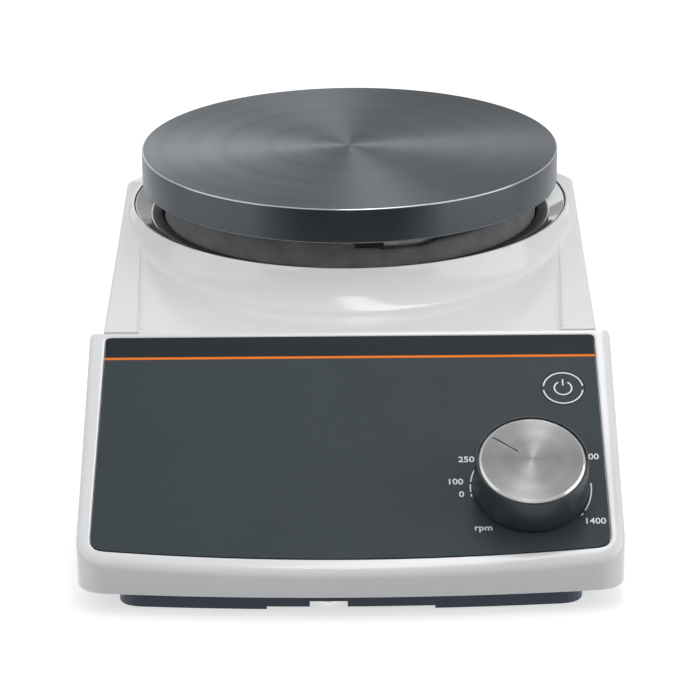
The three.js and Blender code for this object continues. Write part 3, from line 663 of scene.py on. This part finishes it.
# The plate turned from its section: a web with a deep rim hanging from it.
def makePlate():
    radius, top, low = plateHigh[0], plateHigh[2], plateLow[2]
    inner = radius - plate["wall"]
    rim = filleted([
        [inner, top - plate["web"], plate["fillet"]], [inner, low, plate["innerEdge"]],
        [radius, low, plate["lowerEdge"]],
        [radius, top, plate["edge"]], [0, top, 0], [0, top - plate["web"], 0],
    ])
    face = np.linspace(0, 1, 40)[:, None] * [radius - 1, 0] + [0, top]
    under = rim[-1:]
    profile = np.vstack([under, rim[:-2], face[::-1]])
    piece = lathe("stirPlate", profile, plate["segments"], (0, axisY))
    finishPiece(piece, "plateMetal", "casing", "plate_metal", "stir_plate", sharp=40)


ring = {
    "segments": 256, "bevelInner": 69.4, "collar": (65.5, 68.7), "collarTop": 71.6, "bevelLow": 70.6,
    "foot": 68.6, "shoulder": 6.7, "lip": 2,
    "rounds": {"foot": 0.3, "shoulder": 0.8, "lip": 0.5, "edge": 0.35, "gutter": 0.7, "collar": 0.9,
               "collarInner": 1.2},
}


# The drip ring turned from its section: a bevel that falls inwards, a gutter, and a rounded collar.
def makeDripRing():
    radius, top, low = ringHigh[0], ringHigh[2], ringLow[2]
    (collarIn, collarOut), foot, rounds = ring["collar"], ring["foot"], ring["rounds"]
    profile = filleted([
        [collarIn, low, rounds["foot"]], [foot, low, rounds["foot"]],
        [foot, top - ring["shoulder"], rounds["shoulder"]], [radius, top - ring["lip"], rounds["lip"]],
        [radius, top, rounds["edge"]], [ring["bevelInner"], ring["bevelLow"], rounds["gutter"]],
        [collarOut, ring["collarTop"], rounds["collar"]],
        [collarIn, ring["collarTop"], rounds["collarInner"]],
    ])
    piece = lathe("dripRing", profile, ring["segments"], (0, axisY), onAxis=False)
    finishPiece(piece, "ringPlastic", "casing", "ring_plastic", "drip_ring")


felt = {
    "inner": 62.6, "outer": 65.1, "top": 83.1, "segments": 420, "rows": 34, "fuzz": 0.2,
    "waves": ((3, 0.5, 0), (7, 0.3, 1)),  # how many round it, their height and their shift
    # angle from the front in degrees, and how far the upper edge drops there
    "dip": ((-180, 0), (2, 0), (9, 6.7), (22, 6.7), (28, 5.2), (36, 5.2), (51, 3.8), (70, 0), (180, 0)),
}


# The felt wall: its upper edge waves and drops at the front right, and both faces are roughened.
def makeFelt():
    angle = np.linspace(-pi, pi, felt["segments"], endpoint=False)[:, None]
    at, drop = np.array(felt["dip"]).T
    wave = sum(height * np.sin(count * angle + shift) for count, height, shift in felt["waves"])
    top = felt["top"] + wave - np.interp(np.degrees(angle), at, drop)
    low = feltLow[2]
    middle = (felt["inner"] + felt["outer"]) / 2
    half = (felt["outer"] - felt["inner"]) / 2 - felt["fuzz"] * 0.6
    rows, tuft = felt["rows"], 4
    rise = np.linspace(0, 1, rows)[None, :]
    turn = np.linspace(0, pi, 9)[None, 1:-1]
    shape = (angle.shape[0], rows)
    side = low + (top - half - low) * rise
    over = middle + half * np.cos(turn) + 0 * angle
    radius = np.hstack([np.full(shape, middle + half), over, np.full(shape, middle - half)])
    height = np.hstack([side, top - half + half * np.sin(turn), side[:, ::-1]])
    random = np.random.default_rng(11)
    single = random.normal(0, 0.45, radius.shape)
    tufts = random.normal(0, 1, (radius.shape[0] // tuft, radius.shape[1])).repeat(tuft, 0)
    fuzz = np.clip(single + 0.6 * tufts, -1, 1) * felt["fuzz"] * np.clip((height - low) / 2, 0, 1)
    outward = np.where(np.arange(radius.shape[1]) < radius.shape[1] / 2, 1.0, -1.0)[None]
    radius = radius + 0.55 * fuzz * outward
    points = np.stack([radius * np.sin(angle), axisY - radius * np.cos(angle), height + 0.3 * fuzz], axis=2)
    piece = surface("feltRing", points)
    finishPiece(piece, "felt", "casing", "felt", "insulation_ring", sharp=80)


housing = {
    "wall": 3, "edge": 1.6, "frontEdge": 0.3, "angles": 760,
    "taper": radians(56), "cornerBehind": 21, "cornerRadii": (6, 18),
    "railFront": 62.1, "railRearY": 20, "floorFront": 60.4, "floorRear": 70.9, "stepBefore": 18,
    "railInnerFront": 68.3, "railInnerRear": 72.4, "step": 1.3, "blend": 1.6,
    "flare": ((76.4, 0), (80.5, -11.5), (91, -13.1)), "ringGap": 0.3,
    # inside: heights of the roof, where it becomes level behind the axis, and the wall's front foot
    "roofFront": 57.4, "roofRear": 63.5, "roofLevel": 14, "frontFoot": 56.0,
    # openings: half width, depth range and inset for the inlet, then clearance and foot for the rod
    "inletHalf": 14, "inletDepth": (125, 140), "inletInset": 0.7,
    "boreGap": 0.3, "boreFoot": 45, "boreEdge": 0.5,
}


def housingOutline(inset, frontInset):
    half, rear = houseHigh[0] - inset, houseHigh[1] - inset
    nx, ny = sin(housing["taper"]), cos(housing["taper"])
    reach = nx * houseHigh[0] + ny * (axisY + housing["cornerBehind"]) - inset
    front = houseLow[1] + frontInset
    right = [
        [half, front, 0], [half, (reach - nx * half) / ny, housing["cornerRadii"][0]],
        [(reach - ny * rear) / nx, rear, housing["cornerRadii"][1]],
    ]
    return filleted(right + [[-x, y, radius] for x, y, radius in right[::-1]], 12)


# The housing as a grid round the plate's axis: each section runs from the ring's edge over the
# flared boss and the sunken deck, up a small step to the side rail, over the rounded edge, down
# the wall and back underneath. Heights are the larger of boss and deck or rail, with a fillet.
def makeHousing():
    centre = (0, axisY)
    top = houseHigh[2]
    front, stepY = houseLow[1], axisY - housing["stepBefore"]
    lean = (housing["railInnerRear"] - housing["railInnerFront"]) / (stepY - front + 1)
    innerFront = housing["railInnerRear"] - lean * (stepY - front)
    corners = [(side * x, front) for side in (-1, 1) for x in (houseHigh[0], innerFront)]
    angles = anglesThrough(corners, centre, housing["angles"])[:, None]
    across, along = np.cos(angles), np.sin(angles)
    hole = ringHigh[0] + housing["ringGap"]
    frontal = (along < 0) & (np.abs(across / along) < (innerFront - 0.01) / (axisY - front))
    facing = (along < 0) & (np.abs(across / along) < (houseHigh[0] - 0.01) / (axisY - front))

    def outer(inset):
        frontInset = inset * housing["frontEdge"] / housing["edge"] if inset <= housing["edge"] else inset
        return polarRadius(housingOutline(inset, frontInset), centre, angles)

    def boss(radius):
        (r0, z0), (r1, z1), (r2, z2) = housing["flare"]
        t = np.linspace(0, 1, 60)
        curveR = (1 - t) ** 2 * r0 + 2 * t * (1 - t) * r1 + t * t * r2
        curveZ = (1 - t) ** 2 * z0 + 2 * t * (1 - t) * z1 + t * t * z2
        beyond = np.maximum(radius - r2, 0) * (z2 - z1) / (r2 - r1)
        return top + np.interp(radius, curveR, curveZ) + beyond

    def depth(radius):
        return axisY + radius * along

    def floorHeight(radius):
        share = (depth(radius) - front) / (stepY - front)
        plane = housing["floorFront"] + (housing["floorRear"] - housing["floorFront"]) * share
        return np.minimum(softMax(plane, boss(radius), housing["blend"]), top)

    def railHeight(radius):
        ends = [front, axisY + housing["railRearY"]]
        plane = np.interp(depth(radius), ends, [housing["railFront"], top])
        return np.minimum(softMax(plane, boss(radius), housing["blend"]), top)

    edgeStart = outer(housing["edge"])
    crossing = (housing["railInnerRear"] + lean * housing["stepBefore"]) / (np.abs(across) - lean * along)
    beside = (along < -0.2) & ~frontal
    crossing = np.where(beside, np.maximum(crossing, hole), hole)
    crossing = np.where(frontal, edgeStart, np.minimum(crossing, edgeStart))
    stepHeight = np.where(frontal, 0, railHeight(crossing) - floorHeight(crossing))
    small = np.clip(stepHeight / 2, 0, housing["step"])
    lift = small * (1 - np.cos(quarter))
    shift = small * (1 - np.sin(quarter)) / np.maximum(np.abs(across), 0.3)

    def between(start, end, count, power=1.0):
        return start + (end - start) * np.linspace(0, 1, count)[None] ** power

    floorR = between(hole + 0 * angles, crossing - shift[:, :1], 34, 1.25)
    footR = np.maximum(crossing - shift, hole)
    headR = np.minimum(crossing + shift[:, ::-1], edgeStart)
    railR = between(headR[:, -1:], edgeStart, 22, 0.8)
    topZ = np.where(frontal, floorHeight(edgeStart), railHeight(edgeStart))
    roundShare = np.where(facing, housing["frontEdge"] / housing["edge"], 1.0)
    edgeInset = housing["edge"] * (1 - np.sin(quarter))
    edgeR = np.hstack([outer(inset) for inset in edgeInset])
    edgeZ = topZ - roundShare * housing["edge"] * (1 - np.cos(quarter))
    foot = np.where(facing, housing["frontFoot"], skirtZ)
    wall = housing["wall"]
    lip = 0.3
    lipR = np.hstack([outer(0.0), outer(0.25), outer(wall - lip), outer(wall)])
    lipZ = np.hstack([foot + lip, foot, foot, foot + lip])
    underR = between(outer(wall), hole + 0 * angles, 8)
    roofAt = [front, stepY, axisY + housing["roofLevel"]]
    underZ = np.interp(depth(underR), roofAt, [housing["roofFront"], housing["roofRear"], top - wall])
    sunken = crossing > hole + 0.01
    sectionR = np.hstack([floorR, footR, headR, railR, edgeR, lipR, underR])
    sectionZ = np.hstack([
        np.where(frontal | sunken, floorHeight(floorR), railHeight(floorR)),
        np.where(sunken, floorHeight(footR), railHeight(footR)) + lift,
        np.where(frontal, floorHeight(headR), railHeight(headR)) - lift[:, ::-1],
        np.where(frontal, floorHeight(railR), railHeight(railR)),
        edgeZ, lipZ, underZ,
    ])
    points = np.stack([sectionR * across, axisY + sectionR * along, sectionZ], axis=2)
    piece = surface("housing", points)
    bushX, bushY = (bushLow[:2] + bushHigh[:2]) / 2
    bushRadius = (bushHigh[0] - bushLow[0]) / 2 + housing["boreGap"]
    half, (near, far), inset = housing["inletHalf"], housing["inletDepth"], housing["inletInset"]
    window = boxPoints([-half, near, inletLow[2] + inset], [half, far, inletHigh[2] - inset])
    window = surface("window", window, True, False)
    foot, edge, above = housing["boreFoot"], housing["boreEdge"], top + 15
    bore = np.array([
        [0, foot], [bushRadius, foot], [bushRadius, top - edge], [bushRadius + edge, top],
        [bushRadius + edge, above], [0, above],
    ])
    carve(piece, window, lathe("bore", bore, 64, (bushX, bushY)))
    finishPiece(piece, "whiteMoulding", "casing", "white_moulding", "housing_shell", sharp=38)


bezel = {
    "bulge": 700, "corner": 9, "wall": 2.6, "edge": 2.3, "rearEdge": 0.6, "face": 3.4, "lip": 0.3,
    "foilBow": 742, "foilTopHalf": 78.5, "foilLength": 89.4, "foilCorners": (1.6, 4.5), "angles": 700,
    "recess": ((-1.5, 1.5), (0.3, 1.5), (0.3, 0.35), (0.4, 0.1), (0.65, 0.0)),  # clearance and depth
    "openings": ((75, 57.4), (77, 9.9)), "openingDepth": 5,  # half width and top, in the rear wall
}


# The bezel seen from above: square at the back, bowed across the front: y = front + x x / (2 bulge).
def bezelOutline(inset, rearInset):
    half, front, rear = bezelHigh[0] - inset, bezelLow[1] + inset, bezelHigh[1] - rearInset
    corner, bulge = max(bezel["corner"] - inset, 1), bezel["bulge"]
    x = np.linspace(-(half - corner), half - corner, 60)
    bow = np.stack([x, front + x * x / (2 * bulge)], axis=1)
    side = front + half * half / (2 * bulge)
    share = np.linspace(0, 1, 10)[1:-1, None]

    def turn(start, middle, end):
        return (1 - share) ** 2 * start + 2 * share * (1 - share) * middle + share**2 * end

    left = turn(np.array([-half, side + corner]), np.array([-half, side]), bow[0])
    right = turn(bow[-1], np.array([half, side]), np.array([half, side + corner]))
    back = [[half, rear], [-half, rear], [-half, side + corner]]
    return np.vstack([back, left, bow, right, [[half, side + corner]]])


# The foil's outline in the panel, grown by a clearance, as seen from above.
def foilOutline(grow):
    topHalf, lowHalf = bezel["foilTopHalf"] + grow, foilHigh[0] + grow
    topCorner, lowCorner = bezel["foilCorners"]
    low = -bezel["foilLength"] - grow
    x = np.linspace(-(lowHalf - lowCorner), lowHalf - lowCorner, 60)
    bow = np.stack([x, low + x * x / (2 * bezel["foilBow"])], axis=1)
    side = low + lowHalf**2 / (2 * bezel["foilBow"])
    share = np.linspace(0, 1, 9)[:, None]

    def turn(start, middle, end):
        start, middle, end = np.array(start), np.array(middle), np.array(end)
        return (1 - share) ** 2 * start + 2 * share * (1 - share) * middle + share**2 * end

    outline = np.vstack([
        turn([topHalf, grow - topCorner], [topHalf, grow], [topHalf - topCorner, grow]),
        turn([-topHalf + topCorner, grow], [-topHalf, grow], [-topHalf, grow - topCorner]),
        turn([-lowHalf, side + lowCorner], [-lowHalf, side], bow[0]), bow[1:-1],
        turn(bow[-1], [lowHalf, side], [lowHalf, side + lowCorner]),
    ])
    return np.stack([outline[:, 0], panelOrigin[1] + outline[:, 1] * cos(slope)], axis=1)


# The bezel as a grid round the foil's middle: each section runs from under the foil up the edge of
# its recess, over the border, round the outer edge, down the wall and back inside.
def makeBezel():
    centre = (0, (foilLow[1] + foilHigh[1]) / 2)
    corners = [(side * bezelHigh[0], bezelHigh[1]) for side in (-1, 1)]
    angles = anglesThrough(corners, centre, bezel["angles"])[:, None]
    across, along = np.cos(angles), np.sin(angles)
    reach = bezelHigh[0] / (bezelHigh[1] - centre[1])
    behind = (along > 0) & (np.abs(across / along) < reach - 1e-6)
    rearShare = bezel["rearEdge"] / bezel["edge"]

    def outer(inset):
        rearInset = inset * rearShare if inset <= bezel["edge"] else inset
        return polarRadius(bezelOutline(inset, rearInset), centre, angles)

    def inner(grow):
        return polarRadius(foilOutline(grow), centre, angles)

    def planeHeight(radius):
        return panelOrigin[2] + (centre[1] + radius * along - panelOrigin[1]) * tan(slope)

    drop = bezel["face"] / cos(slope)
    lip = bezel["lip"]
    sectionR = [inner(grow) for grow, fall in bezel["recess"]]
    sectionZ = [planeHeight(inner(grow)) - fall for grow, fall in bezel["recess"]]
    land, border = outer(bezel["edge"]), sectionR[-1]
    for share in (0.3, 0.7):
        sectionR.append(border + (land - border) * share)
        sectionZ.append(planeHeight(sectionR[-1]))
    for turn in quarter:
        radius = outer(bezel["edge"] * (1 - sin(turn)))
        fall = bezel["edge"] * (1 - cos(turn)) * np.where(behind, rearShare, 1.0)
        sectionR.append(radius)
        sectionZ.append(planeHeight(radius) - fall)
    for inset, height in ((0.0, lip), (lip, 0.0), (bezel["wall"] - lip, 0.0), (bezel["wall"], lip)):
        sectionR.append(outer(inset))
        sectionZ.append(skirtZ + height + 0 * angles)
    for radius in (outer(bezel["wall"]), inner(bezel["recess"][0][0])):
        sectionR.append(radius)
        sectionZ.append(planeHeight(radius) - drop)
    radius, height = np.hstack(sectionR), np.hstack(sectionZ)
    points = np.stack([radius * across, centre[1] + radius * along, height], axis=2)
    piece = surface("bezel", points)
    near, far = bezelHigh[1] - bezel["openingDepth"], bezelHigh[1] + bezel["openingDepth"]
    boxes = [boxPoints([-half, near, 0], [half, far, height]) for half, height in bezel["openings"]]
    carve(piece, *[surface("opening", box, True, False) for box in boxes])
    finishPiece(piece, "whiteMoulding", "casing", "white_moulding", "front_bezel", sharp=38)


knob = {
    "baseRadius": 18, "topRadius": 17.3, "height": 13.8, "lift": 0.9, "segments": 180,
    "pointer": radians(143.8), "bore": 3.2, "hub": 6.5, "hubLow": 4.5, "hollow": (15, 14.2),
    "hollowTop": 8.5, "rim": 0.5, "seat": 1.6,
    "capGap": 0.8, "capThick": 1.3, "chamfer": (0.9, 0.5),
    "groove": (5.3, 14.8, 0.45, 0.3), "grooveRound": 0.4,  # start, end, half width and depth
}


# Knob body and cap, both turned from a section in the knob's own frame and then set on the panel.
def makeKnob():
    base, radius, height, lift = (knob[key] for key in ("baseRadius", "topRadius", "height", "lift"))
    bore, hub, hubLow, roof = (knob[key] for key in ("bore", "hub", "hubLow", "hollowTop"))
    hollowLow, hollowHigh = knob["hollow"]
    seatRadius, seat = radius - knob["rim"], height - knob["seat"]
    body = filleted([
        [bore, hubLow, 0], [hub, hubLow, 0.4], [hub, roof, 0.6], [hollowHigh, roof, 0.8],
        [hollowLow, lift, 0.3], [base, lift, 0.5], [radius, height, 0.45], [seatRadius, height, 0.15],
        [seatRadius, seat, 0.1], [bore, seat, 0],
    ])
    points = onPanel(lathe(None, body, knob["segments"]) + knobPlace)
    finishPiece(surface("knobBody", points), "knobPlastic", "speed_knob", "knob_plastic", "knob_body")
    disc, under = radius - knob["capGap"], height - knob["capThick"]
    inward, down = knob["chamfer"]
    cap = filleted([
        [disc, under, 0.1], [disc, height - down, 0.15], [disc - inward, height, 0.25], [0, height, 0],
    ])
    face = np.linspace(1, 0, 24)[:, None] * [disc - inward - 0.5, 0] + [0, height]
    profile = np.vstack([[[0, under]], cap[:-1], face])
    piece = surface("knobCap", lathe(None, profile, knob["segments"]), True, False)
    start, end, half, deep = knob["groove"]
    slot = [[start, -half], [end, -half], [end, half], [start, half]]
    slot = filleted([[*corner, knob["grooveRound"]] for corner in slot])
    across, along = cos(knob["pointer"]), sin(knob["pointer"])
    turned = np.array([[across, along], [-along, across]])
    middle = slot.mean(axis=0)
    rows = []
    for share, level in ((0, -deep), (1, -deep), (1, 1), (0, 1)):
        outline = (middle + (slot - middle) * share) @ turned
        rows.append(np.c_[outline, np.full(len(slot), height + level)])
    carve(piece, surface("groove", np.stack(rows, axis=1), True, False))
    place = Matrix(np.vstack([np.c_[panelAxes.T, onPanel(knobPlace) * mm], [0, 0, 0, 1]]).tolist())
    piece.data.transform(place)
    finishPiece(piece, "knobMetal", "speed_knob", "knob_metal", "knob_cap")


scale = {  # angles in degrees from +X about the knob, lengths in millimetres
    "arcRadius": 18.7, "line": 0.42, "textHeight": 2.2, "textWidth": 1.08, "bold": 0.05, "height": 0.03,
    "arcs": ((158.1, 172.5), (175.5, 185.0), (187.3, 190.5), (-36.2, -33.0), (-29.0, 4.8)),
    "labels": (
        ("250", 22.7, 150.0), ("100", 23.2, 173.7), ("0", 21.6, 186.4),
        ("1000", 22.2, 33.0), ("1400", 23.5, -34.0), ("rpm", 22.1, 227.0),
    ),
}
keyMark = {  # lengths in millimetres, gaps in degrees
    "ring": 6.28, "inner": 2.75, "line": 0.46, "bar": (1.0, 3.6), "height": 0.03,
    "ringGap": 16, "topGap": 32,
}


# A printed stroke: a closed ribbon of the given width along points in the panel.
def stroke(path, width, height):
    ahead = np.gradient(path, axis=0)
    aside = np.stack([-ahead[:, 1], ahead[:, 0]], axis=1) / np.linalg.norm(ahead, axis=1)[:, None]
    section = []
    for share, level in ((0.5, 0.0), (0.5, 1.0), (-0.5, 1.0), (-0.5, 0.0)):
        section.append(np.c_[path + aside * width * share, np.full(len(path), height * level)])
    ribbon = np.stack(section, axis=1)
    ends = [np.repeat(ribbon[i].mean(axis=0)[None], 4, axis=0)[None] for i in (0, -1)]
    return np.concatenate([ends[0], ribbon, ends[1]])


def arcPath(radius, start, end, centre):
    angle = np.radians(np.linspace(start, end, max(int(abs(end - start) / 2), 3)))
    around = np.stack([np.cos(angle), np.sin(angle)], axis=1)
    return np.array(centre[:2]) + radius * around


# Raised lettering as a mesh, centred on a point of the panel.
def lettering(text, place, capHeight, height):
    capShare = 0.7  # height of a capital in the font's own unit
    curve = bpy.data.curves.new("label", "FONT")
    curve.body = text
    curve.size = capHeight / capShare
    curve.extrude = height / 2
    curve.offset = scale["bold"]
    curve.resolution_u = 4
    holder = bpy.data.objects.new("label", curve)
    bpy.context.collection.objects.link(holder)
    bpy.context.view_layer.update()
    evaluated = holder.evaluated_get(bpy.context.evaluated_depsgraph_get())
    mesh = bpy.data.meshes.new_from_object(evaluated)
    bpy.data.objects.remove(holder)
    flat = np.zeros(len(mesh.vertices) * 3)
    mesh.vertices.foreach_get("co", flat)
    flat = flat.reshape(-1, 3)
    middle = (flat.min(axis=0) + flat.max(axis=0)) / 2
    points = onPanel((flat - middle) * [scale["textWidth"], 1, 1] + [place[0], place[1], height / 2])
    mesh.vertices.foreach_set("co", (points * mm).ravel())
    made = bpy.data.objects.new("label", mesh)
    bpy.context.collection.objects.link(made)
    return made


def joined(name, pieces):
    with bpy.context.temp_override(active_object=pieces[0], selected_editable_objects=pieces):
        bpy.ops.object.join()
    pieces[0].name = name
    cleanMesh(pieces[0].data, 1e-7)
    return pieces[0]


# The speed scale: arcs and labels round the knob, joined into one piece of print.
def makeScale():
    height = scale["height"]
    pieces = []
    for start, end in scale["arcs"]:
        path = arcPath(scale["arcRadius"], start, end, knobPlace)
        pieces.append(surface("arc", onPanel(stroke(path, scale["line"], height)), False))
    for text, radius, angle in scale["labels"]:
        place = knobPlace[:2] + radius * np.array([cos(radians(angle)), sin(radians(angle))])
        pieces.append(lettering(text, place, scale["textHeight"], height))
    finishPiece(joined("scalePrint", pieces), "printWhite", "casing", "panel_foil")


# The power symbol and the broken ring round it, which move with the key.
def makeKeyMark():
    height, line = keyMark["height"], keyMark["line"]
    gapped = keyMark["ringGap"] / 2
    ring, topGap = keyMark["ring"], keyMark["topGap"]
    paths = [arcPath(ring, start + gapped, start + 180 - gapped, keyPlace) for start in (0, 180)]
    paths.append(arcPath(keyMark["inner"], 90 + topGap, 450 - topGap, keyPlace))
    bar = np.linspace(*keyMark["bar"], 3)[:, None] * [0, 1] + keyPlace[:2]
    pieces = [surface("arc", onPanel(stroke(path, line, height)), False) for path in [*paths, bar]]
    finishPiece(joined("keyPrint", pieces), "printWhite", "power_key", "panel_foil")


floorLook = {  # the glow is for the camera only: it keeps the floor near white beyond the soft shadow
    "half": 6000, "colour": (0.55, 0.55, 0.555), "second": (0.54, 0.54, 0.545), "cloud": 300.0,
    "rough": 0.7, "specular": 0.2, "glow": 0.62,
}


def makeFloor():
    half = floorLook["half"]
    corner = np.array([[[-half, -half, 0], [half, -half, 0]], [[-half, half, 0], [half, half, 0]]])
    floor = surface("floor", corner, False, False)
    made = bpy.data.materials.new("floor")
    made.use_nodes = True
    tree = made.node_tree
    shader = tree.nodes["Principled BSDF"]
    spot = node(tree, "ShaderNodeTexCoord").outputs["Object"]
    cloud = grouped(tree, "cloud", {"Vector": spot, "Size": floorLook["cloud"]})["Value"]
    colour = blend(tree, cloud, floorLook["colour"], floorLook["second"])
    tree.links.new(colour, shader.inputs["Base Color"])
    shader.inputs["Roughness"].default_value = floorLook["rough"]
    shader.inputs["Specular IOR Level"].default_value = floorLook["specular"]
    shader.inputs["Emission Color"].default_value = (1, 1, 1, 1)
    seen = node(tree, "ShaderNodeLightPath").outputs["Is Camera Ray"]
    tree.links.new(calc(tree, "MULTIPLY", seen, floorLook["glow"]), shader.inputs["Emission Strength"])
    floor.visible_glossy = False
    floor.data.materials.append(made)


print("setting camera, light and floor")
makeCamera()
makeLights()
makeFloor()
print("dressing the frame's nodes")
dressFrame()
print("making plate, ring and felt")
makePlate()
makeDripRing()
makeFelt()
print("making housing and bezel")
makeHousing()
makeBezel()
print("making knob and print")
makeKnob()
makeScale()
makeKeyMark()
